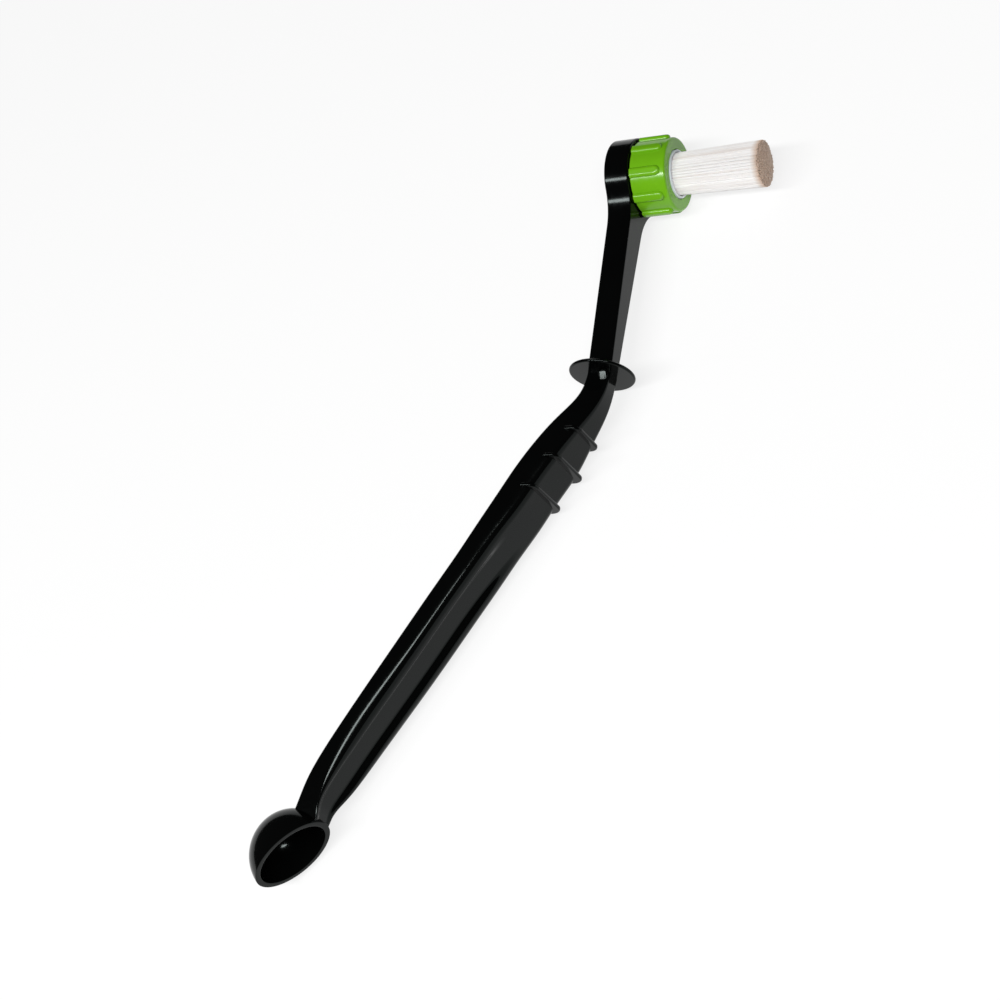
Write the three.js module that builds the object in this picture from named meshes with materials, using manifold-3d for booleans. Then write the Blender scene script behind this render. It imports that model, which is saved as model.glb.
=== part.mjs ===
// Group head brush: a moulded handle with a measuring scoop at one end and a round
// screw-on brush at the other. Millimetres. The tool lies on its side: +X is the way
// the bristles point, +Y runs up the neck to the brush, +Z is up out of the table.

import * as THREE from 'three';
import { mergeVertices } from 'three/addons/utils/BufferGeometryUtils.js';
import Module from 'manifold-3d';

const wasm = await Module();
wasm.setup();

// Running clearance between pieces that turn, slide or seat on each other
const CLEARANCE = 0.3;

// Neck and head: a flat bar that flares into a round disc
const NECK_LENGTH = 62.6;
const NECK_THICKNESS = 7.2;
const NECK_WIDTH_AT_GUARD = 4.8;
const NECK_WIDTH_AT_HEAD = 9.2;
const NECK_FILLET = 13;
const HEAD_RADIUS = 11.5;
const EDGE_ROUND = 0.5;

// Splash guard: a thin disc moulded round the foot of the neck, its front a little lowered
const GUARD_RADIUS = 9.3;
const GUARD_THICKNESS = 1.0;
const GUARD_TILT_DEG = 2;

// Threaded boss on the head, hollow for the brush insert
const BOSS_LENGTH = 6.0;
const BOSS_WALL = 1.0;
const THREAD_PITCH = 2.5;
const THREAD_HEIGHT = 0.8;
const THREAD_CREST = 0.6;
const THREAD_SUNK = 0.2;
const CAP_THREAD_TURNS = 1;
const THREAD_STEPS_PER_TURN = 24;

// Brush insert: a flanged sleeve that the cap traps against the boss
const SLEEVE_RADIUS = 6.7;
const SLEEVE_WALL = 0.5;
const SLEEVE_FLOOR = 1.4;
const SLEEVE_NOSE = 0.4;
const FLANGE_THICKNESS = 1.9;

// Cap nut: a lobed screw cap with a hole for the brush
const CAP_WALL = 1.4;
const CAP_FRONT_WALL = 2.4;
const CAP_FRONT_ROUND = 0.7;
const LUG_COUNT = 9;
const LUG_WIDTH = 2.6;
const LUG_HEIGHT = 0.95;
const LUG_LENGTH = 9.2;
const LUG_PHASE_DEG = 32;

// Bristles: straight nylon strands, slightly flared, bonded in the sleeve
const BRISTLE_REACH = 27.0;
const TUFT_TIP_RADIUS = 6.6;
const STRAND_RADIUS = 0.23;
const STRAND_RINGS = 10;
const STRAND_SIDES = 3;
const ROOT_THICKNESS = 1.5;
const TIP_CROWN = 0.6;

// Grip: a flat bar with a groove in its front. Sections along the handle, each set by a point
// on its flat back, as [back x, back y, lean of the section below the brush axis in degrees,
// depth, width, round of the front corners, depth of the groove]
const GRIP_SECTIONS = [
  [-NECK_THICKNESS / 2, 0.4, 0, NECK_THICKNESS, NECK_WIDTH_AT_GUARD, 0.5, 0],
  [-3.9, -4.6, 4, 7.3, 5.6, 0.9, 0],
  [-5.1, -9.1, 14, 7.4, 8.6, 1.8, 0],
  [-8.0, -13.8, 26, 7.4, 11.7, 2.6, 0],
  [-12.0, -21.3, 33, 7.5, 16.2, 3.4, 0],
  [-17.4, -30.1, 31, 7.5, 17.0, 3.7, 0],
  [-21.9, -38.9, 29.5, 7.3, 17.5, 3.7, 0],
  [-30.0, -54.7, 29, 6.2, 18.4, 3.2, 0.8],
  [-44.3, -80.2, 29, 6.1, 18.4, 2.4, 2],
  [-58.7, -105.5, 28, 6.0, 17.2, 2.6, 1.6],
  [-63.6, -113.8, 26, 6.0, 15.4, 2.6, 1.0],
  [-67.4, -120.5, 21, 6.0, 12.4, 2.3, 0.3],
  [-69.7, -125.3, 14, 6.1, 10.3, 1.9, 0],
  [-71.0, -128.4, 6, 6.2, 9.6, 1.6, 0],
  [-72.4, -131.5, 0, 6.2, 7.8, 1.3, 0],
];
const GRIP_STEPS = 42;
const GROOVE_WIDTH = 9.2;
const GROOVE_POINTS = 7;
const SPINE_ROUND = 1.0;
const CORNER_STEPS = 3;

// Grip ribs: three low fins over the front and round its corners, parallel to the guard
const RIB_PLACES = [[-1.5, -19.2], [-6.0, -27.8], [-10.8, -36.5]];
const RIB_THICKNESS = 1.2;
const RIB_PROUD = 1.6;
const RIB_SIDE_PROUD = 0.7;
const RIB_WRAP = 2.5;
const RIB_CUT_SPAN = 60;

// Measuring scoop: an oval bowl whose flat rim faces forward and down
const SCOOP_CENTRE = [-70.3, -137.7];
const SCOOP_TILT_DEG = -43.4;
const SCOOP_LENGTH = 23.9;
const SCOOP_WIDTH = 18.5;
const SCOOP_DEPTH = 12.3;
const SCOOP_WALL = 1.6;

// Steps of the rounded shapes, and how far a cut runs past the face it opens
const TURNED_STEPS = 36;
const ROUND_STEPS = 4;
const BOWL_STEPS = 8;
const CUT_PAST = 1;

// Levels along the brush axis, all from the head's middle plane
const HEAD_FACE = NECK_THICKNESS / 2;
const BOSS_END = HEAD_FACE + BOSS_LENGTH;
const FLANGE_BACK = BOSS_END + CLEARANCE;
const FLANGE_FRONT = FLANGE_BACK + FLANGE_THICKNESS;
const CAP_BACK = HEAD_FACE + CLEARANCE;
const CAP_FLOOR = FLANGE_FRONT + CLEARANCE;
const CAP_FRONT = CAP_FLOOR + CAP_FRONT_WALL;
const SLEEVE_BACK = HEAD_FACE + 2 * CLEARANCE;
const SLEEVE_FRONT = CAP_FRONT + SLEEVE_NOSE;
const ROOT_BACK = SLEEVE_BACK + SLEEVE_FLOOR + CLEARANCE;
const BRISTLE_TIP = CAP_FRONT + BRISTLE_REACH;

// Radii about the brush axis, from the bristles outwards
const SLEEVE_BORE = SLEEVE_RADIUS - SLEEVE_WALL;
const TUFT_RADIUS = SLEEVE_BORE - CLEARANCE;
const SLEEVE_HOLE = SLEEVE_RADIUS + CLEARANCE;
const BOSS_RADIUS = SLEEVE_HOLE + BOSS_WALL;
const CAP_BORE = BOSS_RADIUS + THREAD_HEIGHT + CLEARANCE;
const CAP_RADIUS = CAP_BORE + CAP_WALL;

const moulding = new THREE.MeshStandardMaterial({ color: 0x0b0b0c, roughness: 0.22, metalness: 0 });
const capPlastic = new THREE.MeshStandardMaterial({ color: 0x6fb521, roughness: 0.32, metalness: 0 });
const sleevePlastic = new THREE.MeshStandardMaterial({ color: 0xe6ebf0, roughness: 0.4, metalness: 0 });
const nylon = new THREE.MeshStandardMaterial({ color: 0xf1eeea, roughness: 0.45, metalness: 0 });

/** Turns a closed geometry into a solid for cutting and joining. */
function solid(geometry) {
  const bare = geometry.clone();
  bare.deleteAttribute('normal');
  bare.deleteAttribute('uv');
  const merged = mergeVertices(bare, 1e-4);
  return new wasm.Manifold(new wasm.Mesh({
    numProp: 3,
    vertProperties: new Float32Array(merged.attributes.position.array),
    triVerts: new Uint32Array(merged.index.array),
  }));
}

/** Turns a solid back into a geometry. */
function geometryOf(body) {
  const mesh = body.getMesh();
  const geometry = new THREE.BufferGeometry();
  geometry.setAttribute('position', new THREE.BufferAttribute(new Float32Array(mesh.vertProperties), 3));
  geometry.setIndex(new THREE.BufferAttribute(new Uint32Array(mesh.triVerts), 1));
  geometry.computeVertexNormals();
  return geometry;
}

/** A piece turned about the brush axis from [radius, x] points that go from axis to axis or round a ring. */
function turnedOnBrushAxis(profile) {
  const closed = profile[0][0] > 0 ? [...profile, profile[0]] : profile;
  const points = closed.map(([radius, x]) => new THREE.Vector2(radius, x));
  const geometry = new THREE.LatheGeometry(points, TURNED_STEPS);
  geometry.rotateZ(-Math.PI / 2);
  return solid(geometry).translate([0, NECK_LENGTH, 0]);
}

/** Points of an arc in a profile, from one angle to another in degrees. */
function arc(centre, radius, fromDeg, toDeg, steps) {
  return Array.from({ length: steps + 1 }, (_, step) => {
    const angle = THREE.MathUtils.degToRad(fromDeg + (toDeg - fromDeg) * step / steps);
    return [centre[0] + radius * Math.cos(angle), centre[1] + radius * Math.sin(angle)];
  });
}

/** Joins rings of equal point counts, each counter-clockwise seen from the last, into one closed skin. */
function loft(rings) {
  const count = rings[0].length;
  const positions = rings.flat().flatMap((point) => [point.x, point.y, point.z]);
  const faces = [];
  for (let ring = 0; ring + 1 < rings.length; ring += 1) {
    for (let point = 0; point < count; point += 1) {
      const here = ring * count + point;
      const next = ring * count + (point + 1) % count;
      faces.push(here, next, here + count, next, next + count, here + count);
    }
  }
  const last = (rings.length - 1) * count;
  for (let point = 1; point + 1 < count; point += 1) {
    faces.push(0, point + 1, point);
    faces.push(last, last + point, last + point + 1);
  }
  const geometry = new THREE.BufferGeometry();
  geometry.setAttribute('position', new THREE.Float32BufferAttribute(positions, 3));
  geometry.setIndex(faces);
  return geometry;
}

/** Half the width along the axis of a thread ridge's foot, its flanks sloping one in two. */
function threadFoot() {
  return (THREAD_HEIGHT + THREAD_SUNK + THREAD_CREST) / 2;
}

/** A single-start right-hand ridge about the brush axis, rising from one radius to another. */
function threadRidge(rootRadius, crestRadius, startX, turns) {
  const steps = Math.round(turns * THREAD_STEPS_PER_TURN);
  const half = threadFoot();
  const rings = [];
  for (let step = 0; step <= steps; step += 1) {
    const turn = step / THREAD_STEPS_PER_TURN;
    const angle = 2 * Math.PI * turn;
    const x = startX + THREAD_PITCH * turn;
    const point = (radius, along) => new THREE.Vector3(
      x + along, NECK_LENGTH + radius * Math.cos(angle), radius * Math.sin(angle));
    const section = [
      point(rootRadius, -half), point(crestRadius, -THREAD_CREST / 2),
      point(crestRadius, THREAD_CREST / 2), point(rootRadius, half),
    ];
    rings.push(crestRadius > rootRadius ? section.reverse() : section);
  }
  return solid(loft(rings));
}

/** The flat bar of the neck, its flare and the round head, as one outline cut from a plate. */
function neckAndHead() {
  const foot = NECK_WIDTH_AT_GUARD / 2;
  const top = NECK_WIDTH_AT_HEAD / 2;
  const length = Math.hypot(top - foot, NECK_LENGTH);
  const along = [(top - foot) / length, NECK_LENGTH / length];
  const outward = [along[1], -along[0]];
  const reach = HEAD_RADIUS + NECK_FILLET;
  const start = [foot + NECK_FILLET * outward[0], NECK_FILLET * outward[1] - NECK_LENGTH];
  const half = start[0] * along[0] + start[1] * along[1];
  const rest = start[0] ** 2 + start[1] ** 2 - reach ** 2;
  const distance = -half - Math.sqrt(half ** 2 - rest);
  const centre = [start[0] + distance * along[0], start[1] + distance * along[1] + NECK_LENGTH];
  const leave = Math.atan2(centre[1] - NECK_LENGTH, centre[0]);
  const inward = Math.atan2(-outward[1], -outward[0]);
  const shape = new THREE.Shape();
  shape.moveTo(-foot, 0);
  shape.lineTo(foot, 0);
  shape.absarc(centre[0], centre[1], NECK_FILLET, inward, leave + Math.PI, true);
  shape.absarc(0, NECK_LENGTH, HEAD_RADIUS, leave, Math.PI - leave, false);
  shape.absarc(-centre[0], centre[1], NECK_FILLET, -leave, Math.PI - inward, true);
  shape.closePath();
  const geometry = new THREE.ExtrudeGeometry(shape, {
    depth: NECK_THICKNESS - 2 * EDGE_ROUND,
    bevelEnabled: true,
    bevelThickness: EDGE_ROUND,
    bevelSize: EDGE_ROUND,
    bevelOffset: -EDGE_ROUND,
    bevelSegments: 1,
    curveSegments: 14,
  });
  geometry.translate(0, 0, EDGE_ROUND - NECK_THICKNESS / 2);
  geometry.rotateY(Math.PI / 2);
  return solid(geometry);
}

/** The splash guard, a disc with a rounded rim. */
function splashGuard() {
  const rim = GUARD_THICKNESS / 2;
  const profile = [[0, -rim], ...arc([GUARD_RADIUS - rim, 0], rim, -90, 90, ROUND_STEPS), [0, rim]];
  const points = profile.map(([radius, y]) => new THREE.Vector2(radius, y));
  const geometry = new THREE.LatheGeometry(points, TURNED_STEPS);
  geometry.rotateZ(THREE.MathUtils.degToRad(-GUARD_TILT_DEG));
  return solid(geometry);
}

/** The threaded boss in front of the head, with its recess for the sleeve still filled. */
function boss() {
  const core = turnedOnBrushAxis([[0, 0], [BOSS_RADIUS, 0], [BOSS_RADIUS, BOSS_END], [0, BOSS_END]]);
  const firstTurn = HEAD_FACE + THREAD_PITCH / 2;
  const turns = (BOSS_END - threadFoot() - firstTurn) / THREAD_PITCH;
  const crest = BOSS_RADIUS + THREAD_HEIGHT;
  return core.add(threadRidge(BOSS_RADIUS - THREAD_SUNK, crest, firstTurn, turns));
}

/** The round recess in the boss that takes the back of the sleeve. */
function bossRecess() {
  const floor = SLEEVE_BACK - CLEARANCE;
  const mouth = BOSS_END + CUT_PAST;
  return turnedOnBrushAxis([[0, floor], [SLEEVE_HOLE, floor], [SLEEVE_HOLE, mouth], [0, mouth]]);
}

/** Points on the +Z side of a section followed by others between and their mirror on the -Z side. */
function mirrored(side, between) {
  return [...side, ...between, ...side.map(([across, along]) => [-across, along]).reverse()];
}

/** One section of the grip: a bar with rounded corners and a grooved front, as [across, along]. */
function gripOutline({ depth, width, corner, groove }) {
  const half = width / 2;
  const backCorner = arc([half - SPINE_ROUND, SPINE_ROUND], SPINE_ROUND, -90, 0, CORNER_STEPS);
  const frontCorner = arc([half - corner, depth - corner], corner, 0, 90, CORNER_STEPS);
  const reach = Math.min(GROOVE_WIDTH / 2, half - corner);
  const hollow = Array.from({ length: GROOVE_POINTS }, (_, step) => {
    const share = 1 - 2 * (step + 1) / (GROOVE_POINTS + 1);
    return [share * reach, depth - groove * Math.cos(share * Math.PI / 2) ** 2];
  });
  return mirrored([...backCorner, ...frontCorner], hollow);
}

/** One section of the ribs: the front and its corners, standing proud of the grip. */
function ribOutline({ depth, width, corner }) {
  const half = width / 2 + RIB_SIDE_PROUD;
  const round = arc([half - corner, depth + RIB_PROUD - corner], corner, 0, 90, CORNER_STEPS);
  return mirrored([[half, depth - RIB_WRAP], ...round], []);
}

/** A loft of one outline along the grip's sections. */
function alongGrip(outline) {
  const through = (pick) => new THREE.CatmullRomCurve3(GRIP_SECTIONS.map(pick), false, 'centripetal');
  const backs = through(([x, y]) => new THREE.Vector3(x, y, 0));
  const fronts = through(([x, y, lean, depth]) => {
    const angle = THREE.MathUtils.degToRad(-lean);
    return new THREE.Vector3(x + depth * Math.cos(angle), y + depth * Math.sin(angle), 0);
  });
  const sizes = through(([, , , , width, corner, groove]) => new THREE.Vector3(width, corner, groove));
  const rings = Array.from({ length: GRIP_STEPS + 1 }, (_, step) => {
    const t = step / GRIP_STEPS;
    const back = backs.getPoint(t);
    const toFront = fronts.getPoint(t).sub(back);
    const size = sizes.getPoint(t);
    const groove = Math.max(size.z, 0);
    const section = { depth: toFront.length(), width: size.x, corner: size.y, groove };
    const forward = toFront.normalize();
    const place = ([across, along]) => back.clone().addScaledVector(forward, along).setZ(across);
    return outline(section).map(place).reverse();
  });
  return solid(loft(rings));
}

/** The three ribs, cut by slabs parallel to the guard from the rib outline's loft. */
function ribs() {
  const proud = alongGrip(ribOutline);
  const slabs = RIB_PLACES.map(([x, y]) => {
    const slab = new THREE.BoxGeometry(RIB_CUT_SPAN, RIB_THICKNESS, RIB_CUT_SPAN);
    slab.rotateZ(THREE.MathUtils.degToRad(-GUARD_TILT_DEG));
    slab.translate(x, y, 0);
    return solid(slab);
  });
  return slabs.map((slab) => proud.intersect(slab)).reduce((all, rib) => all.add(rib));
}

/** An oval bowl shape below the scoop's rim plane, carried on above the rim by a height. */
function bowl(inset, above) {
  const depth = SCOOP_DEPTH - inset;
  const below = arc([0, 0], 1, -90, 0, BOWL_STEPS).map(([radius, y]) => [radius, y * depth]);
  const profile = above > 0 ? [...below, [1, above], [0, above]] : [...below, [0, 0]];
  const points = profile.map(([radius, y]) => new THREE.Vector2(radius, y));
  const geometry = new THREE.LatheGeometry(points, TURNED_STEPS);
  geometry.scale(SCOOP_LENGTH / 2 - inset, 1, SCOOP_WIDTH / 2 - inset);
  geometry.rotateZ(THREE.MathUtils.degToRad(SCOOP_TILT_DEG - 90));
  geometry.translate(SCOOP_CENTRE[0], SCOOP_CENTRE[1], 0);
  return solid(geometry);
}

/** The handle: neck, head, boss, guard, grip, ribs and scoop in one moulding. */
function handle() {
  const outer = bowl(0, 0);
  const hollow = bowl(SCOOP_WALL, SCOOP_DEPTH);
  return [boss(), splashGuard(), alongGrip(gripOutline), ribs(), outer]
    .reduce((all, piece) => all.add(piece), neckAndHead())
    .subtract(hollow)
    .subtract(bossRecess());
}

/** The cap nut: a threaded cup with axial lugs and a hole for the brush. */
function capNut() {
  const corner = [CAP_RADIUS - CAP_FRONT_ROUND, CAP_FRONT - CAP_FRONT_ROUND];
  const cup = turnedOnBrushAxis([
    [CAP_BORE, CAP_BACK], [CAP_RADIUS, CAP_BACK],
    ...arc(corner, CAP_FRONT_ROUND, 0, 90, ROUND_STEPS),
    [SLEEVE_HOLE, CAP_FRONT], [SLEEVE_HOLE, CAP_FLOOR], [CAP_BORE, CAP_FLOOR],
  ]);
  const turn = 360 / LUG_COUNT;
  const lugs = Array.from({ length: LUG_COUNT }, (_, index) => capLug(index * turn + LUG_PHASE_DEG));
  const crest = BOSS_RADIUS + CLEARANCE;
  const firstTurn = HEAD_FACE + THREAD_PITCH;
  const thread = threadRidge(CAP_BORE + THREAD_SUNK, crest, firstTurn, CAP_THREAD_TURNS);
  return lugs.reduce((all, lug) => all.add(lug), cup.add(thread));
}

/** One axial lug on the cap, a bar with rounded sides and a rounded front end. */
function capLug(angleDeg) {
  const half = LUG_WIDTH / 2;
  const straight = LUG_LENGTH - half;
  const shape = new THREE.Shape();
  shape.moveTo(-half, 0);
  shape.lineTo(half, 0);
  shape.lineTo(half, straight);
  shape.absarc(0, straight, half, 0, Math.PI, false);
  shape.closePath();
  const base = CAP_BORE + CAP_WALL / 2;
  const top = CAP_RADIUS + LUG_HEIGHT;
  const round = LUG_HEIGHT / 2;
  const geometry = new THREE.ExtrudeGeometry(shape, {
    depth: top - base - round,
    bevelEnabled: true,
    bevelThickness: round,
    bevelSize: round,
    bevelOffset: -round,
    bevelSegments: 1,
    curveSegments: 4,
  });
  geometry.translate(0, 0, base);
  geometry.rotateZ(-Math.PI / 2);
  geometry.rotateX(THREE.MathUtils.degToRad(angleDeg));
  geometry.translate(CAP_BACK, NECK_LENGTH, 0);
  return solid(geometry);
}

/** The brush insert's sleeve: a cup with a flange that the cap presses on the boss. */
function brushSleeve() {
  const flange = BOSS_RADIUS;
  return turnedOnBrushAxis([
    [0, SLEEVE_BACK], [SLEEVE_RADIUS, SLEEVE_BACK], [SLEEVE_RADIUS, FLANGE_BACK],
    [flange, FLANGE_BACK], [flange, FLANGE_FRONT], [SLEEVE_RADIUS, FLANGE_FRONT],
    [SLEEVE_RADIUS, SLEEVE_FRONT], [SLEEVE_BORE, SLEEVE_FRONT],
    [SLEEVE_BORE, SLEEVE_BACK + SLEEVE_FLOOR], [0, SLEEVE_BACK + SLEEVE_FLOOR],
  ]);
}

/** Places of the strands across a tuft of unit radius: one in the middle, then rings of 6, 12, 18. */
function strandPlaces() {
  const places = [new THREE.Vector2()];
  for (let ring = 1; ring <= STRAND_RINGS; ring += 1) {
    const count = 6 * ring;
    for (let strand = 0; strand < count; strand += 1) {
      const angle = 2 * Math.PI * strand / count;
      places.push(new THREE.Vector2(Math.cos(angle), Math.sin(angle)).multiplyScalar(ring / STRAND_RINGS));
    }
  }
  return places;
}

/** The bristles: strands flaring evenly from the sleeve's mouth to the tip, on one bonded root. */
function bristleTuft() {
  const rootFront = ROOT_BACK + ROOT_THICKNESS;
  const root = turnedOnBrushAxis([
    [0, ROOT_BACK], [TUFT_RADIUS, ROOT_BACK], [TUFT_RADIUS, rootFront], [0, rootFront],
  ]);
  const mouth = TUFT_RADIUS - STRAND_RADIUS;
  const flare = (TUFT_TIP_RADIUS - TUFT_RADIUS) / (BRISTLE_TIP - SLEEVE_FRONT);
  const strands = strandPlaces().map((place) => {
    const ring = (x) => Array.from({ length: STRAND_SIDES }, (_, side) => {
      const angle = 2 * Math.PI * side / STRAND_SIDES;
      const spread = mouth + flare * (x - SLEEVE_FRONT);
      return new THREE.Vector3(
        x,
        NECK_LENGTH + place.x * spread + STRAND_RADIUS * Math.cos(angle),
        place.y * spread + STRAND_RADIUS * Math.sin(angle));
    });
    const tip = BRISTLE_TIP - TIP_CROWN * place.lengthSq();
    return solid(loft([ring(ROOT_BACK + ROOT_THICKNESS / 2), ring(tip)]));
  });
  return wasm.Manifold.union([root, ...strands]);
}

const brush = new THREE.Group();
const place = new THREE.Group();
brush.add(place);
const pieces = [
  ['handle', handle(), moulding],
  ['cap_nut', capNut(), capPlastic],
  ['brush_sleeve', brushSleeve(), sleevePlastic],
  ['bristle_tuft', bristleTuft(), nylon],
];
for (const [name, body, material] of pieces) {
  const mesh = new THREE.Mesh(geometryOf(body), material);
  mesh.name = name;
  place.add(mesh);
}

// The origin is the middle of the whole tool's footprint, on the table it lies on
const box = new THREE.Box3().setFromObject(place);
const middle = box.getCenter(new THREE.Vector3());
place.position.set(-middle.x, -middle.y, -box.min.z);

export default brush;
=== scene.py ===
"""Group head brush: a black moulded handle with a scoop, and a nylon brush under a green screw cap.

Every piece is drawn in millimetres from the middle of the splash guard, with +X the way the bristles
point, +Y up the neck and +Z up from the table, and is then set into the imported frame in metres.
"""

import logging
import math
import random
from dataclasses import dataclass
from enum import Enum, IntEnum
from typing import Sequence

import bmesh
import bpy
import numpy as np
from mathutils import Matrix, Vector

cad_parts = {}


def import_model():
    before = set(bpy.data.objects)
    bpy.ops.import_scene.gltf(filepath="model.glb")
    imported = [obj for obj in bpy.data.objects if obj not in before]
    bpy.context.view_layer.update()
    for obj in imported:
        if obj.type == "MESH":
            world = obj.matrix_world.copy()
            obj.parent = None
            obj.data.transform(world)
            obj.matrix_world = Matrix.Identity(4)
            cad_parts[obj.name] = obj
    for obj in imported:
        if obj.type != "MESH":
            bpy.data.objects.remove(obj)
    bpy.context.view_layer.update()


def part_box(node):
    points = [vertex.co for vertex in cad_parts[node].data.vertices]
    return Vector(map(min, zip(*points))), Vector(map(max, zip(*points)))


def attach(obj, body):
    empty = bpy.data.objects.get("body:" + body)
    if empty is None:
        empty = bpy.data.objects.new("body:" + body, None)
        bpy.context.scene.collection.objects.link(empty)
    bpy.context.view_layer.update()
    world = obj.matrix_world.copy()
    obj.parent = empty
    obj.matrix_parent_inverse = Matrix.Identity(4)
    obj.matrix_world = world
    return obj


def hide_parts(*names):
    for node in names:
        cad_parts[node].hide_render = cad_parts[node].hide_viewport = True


LOG = logging.getLogger("group_head_brush")

Shell = bmesh.types.BMesh
Face = bmesh.types.BMFace
Edge = bmesh.types.BMEdge
Vert = bmesh.types.BMVert
Piece = bpy.types.Object
Socket = bpy.types.NodeSocket
Triple = tuple[float, float, float]

MM = 0.001
FULL_TURN = 2 * math.pi
X_AXIS = Vector((1, 0, 0))
Y_AXIS = Vector((0, 1, 0))
Z_AXIS = Vector((0, 0, 1))

# Sizes that several pieces share, in millimetres and radians
NECK_LENGTH = 62.6
NECK_THICKNESS = 7.2
NECK_WIDTH_AT_GUARD = 4.8
HEAD_RADIUS = 11.5
HEAD_FACE = NECK_THICKNESS / 2
GUARD_TILT = math.radians(2)
BOSS_RADIUS = 8.0
BOSS_END = 9.6
SLEEVE_RADIUS = 6.7
SLEEVE_BORE = 6.2
SLEEVE_HOLE = 7.0
SLEEVE_FRONT = 14.9
BRISTLE_TIP = 41.5
THREAD_PITCH = 2.5
THREAD_STEPS = 48
THREAD_CREST_HALF = 0.3
THREAD_FOOT_HALF = 0.8
THREAD_HEIGHT = 0.8
THREAD_SINK = 0.2
THREAD_GAP = 0.3
BRUSH_CENTRE = Vector((0, NECK_LENGTH, 0))

# How shells are cleaned and shaded, with distances in millimetres
MERGE_DISTANCE = 1e-4
SLIVER_LENGTH = 1e-5
FLAT_END = 0.99
FLAT_FACE_WEIGHT = 50

# The part of a noise that is spread to a range, and the sockets of a colour mix
NOISE_LOW = 0.3
NOISE_HIGH = 0.7
MIX_SHARE = 0
MIX_FIRST = 6
MIX_SECOND = 7
MIX_COLOUR = 2


class Body(Enum):
    """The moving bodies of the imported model."""

    HANDLE = "handle"
    INSERT = "brush_insert"
    CAP = "cap"


class Slot(Enum):
    """The record's material slots."""

    BLACK = "black_plastic"
    GREEN = "green_plastic"
    WHITE = "white_plastic"
    NYLON = "nylon"


class Join(Enum):
    """What a shell does to the solid it is given to."""

    ADD = "UNION"
    CUT = "DIFFERENCE"


class Column(IntEnum):
    """The values of one sample along the grip."""

    BACK_X = 0
    BACK_Y = 1
    FRONT_X = 2
    FRONT_Y = 3
    WIDTH = 4
    CORNER = 5
    GROOVE = 6


class NodeBench:
    """A new material with its shader, and short ways to add and wire nodes."""

    def __init__(self, name: str) -> None:
        """Makes the material, with the piece's own coordinates ready."""
        self.material = bpy.data.materials.new(name)
        self.material.use_nodes = True
        self.tree = self.material.node_tree
        self.shader = self.tree.nodes["Principled BSDF"]
        self.place = self.add("ShaderNodeTexCoord").outputs["Object"]

    def add(self, kind: str, **settings: object) -> bpy.types.Node:
        """Adds a node.

        Args:
            kind: the node's type.
            settings: properties to set on the node.

        Returns:
            The new node.
        """
        node = self.tree.nodes.new(kind)
        for key, value in settings.items():
            setattr(node, key, value)
        return node

    def link(self, source: Socket, target: Socket) -> None:
        """Wires one socket to another."""
        self.tree.links.new(source, target)

    def noise(self, scale: float, detail: float, stretch: Vector | None = None) -> Socket:
        """Adds a noise over the piece.

        Args:
            scale: features per metre.
            detail: octaves of finer noise.
            stretch: scale along each axis, or none for an even noise.

        Returns:
            The noise's value, about 0.5 on average.
        """
        texture = self.add("ShaderNodeTexNoise")
        texture.inputs["Scale"].default_value = scale
        texture.inputs["Detail"].default_value = detail
        source = self.place
        if stretch is not None:
            mapping = self.add("ShaderNodeMapping")
            mapping.inputs["Scale"].default_value = stretch
            self.link(source, mapping.inputs["Vector"])
            source = mapping.outputs["Vector"]
        self.link(source, texture.inputs["Vector"])
        return texture.outputs["Fac"]

    def spread(self, value: Socket, low: float, high: float) -> Socket:
        """Maps the middle part of a noise to a range.

        Args:
            value: the noise.
            low: what a low noise gives.
            high: what a high noise gives.

        Returns:
            The mapped value.
        """
        node = self.add("ShaderNodeMapRange")
        node.inputs["From Min"].default_value = NOISE_LOW
        node.inputs["From Max"].default_value = NOISE_HIGH
        node.inputs["To Min"].default_value = low
        node.inputs["To Max"].default_value = high
        self.link(value, node.inputs["Value"])
        return node.outputs["Result"]

    def blend(self, value: Socket, low: Triple, high: Triple) -> Socket:
        """Mixes two colours by a value from 0 to 1.

        Args:
            value: the share of the second colour.
            low: the first colour.
            high: the second colour.

        Returns:
            The mixed colour.
        """
        node = self.add("ShaderNodeMix", data_type="RGBA")
        node.inputs[MIX_FIRST].default_value = (*low, 1)
        node.inputs[MIX_SECOND].default_value = (*high, 1)
        self.link(value, node.inputs[MIX_SHARE])
        return node.outputs[MIX_COLOUR]

    def emboss(self, height: Socket, strength: float, depth: float) -> None:
        """Gives the surface a fine relief from a height of 0 to 1, in metres of depth."""
        bump = self.add("ShaderNodeBump")
        bump.inputs["Strength"].default_value = strength
        bump.inputs["Distance"].default_value = depth
        self.link(height, bump.inputs["Height"])
        self.link(bump.outputs["Normal"], self.shader.inputs["Normal"])


@dataclass(frozen=True)
class MouldedPlastic:
    """A moulded plastic whose colour drifts a little and whose skin is not quite even."""

    name: str
    colour: Triple
    deep_colour: Triple
    roughness: tuple[float, float]
    ior: float
    relief: float
    gloss_tint: Triple = (1.0, 1.0, 1.0)
    cloud_scale: float = 70.0
    cloud_detail: float = 3.0
    skin_scale: float = 900.0
    skin_detail: float = 2.0
    skin_depth: float = 5e-5

    def material(self) -> bpy.types.Material:
        """Builds the material."""
        bench = NodeBench(self.name)
        bench.shader.inputs["IOR"].default_value = self.ior
        bench.shader.inputs["Specular Tint"].default_value = (*self.gloss_tint, 1)
        cloud = bench.spread(bench.noise(self.cloud_scale, self.cloud_detail), 0, 1)
        bench.link(bench.blend(cloud, self.deep_colour, self.colour), bench.shader.inputs["Base Color"])
        skin = bench.noise(self.skin_scale, self.skin_detail)
        bench.link(bench.spread(skin, *self.roughness), bench.shader.inputs["Roughness"])
        bench.emboss(skin, self.relief, self.skin_depth)
        return bench.material


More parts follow.
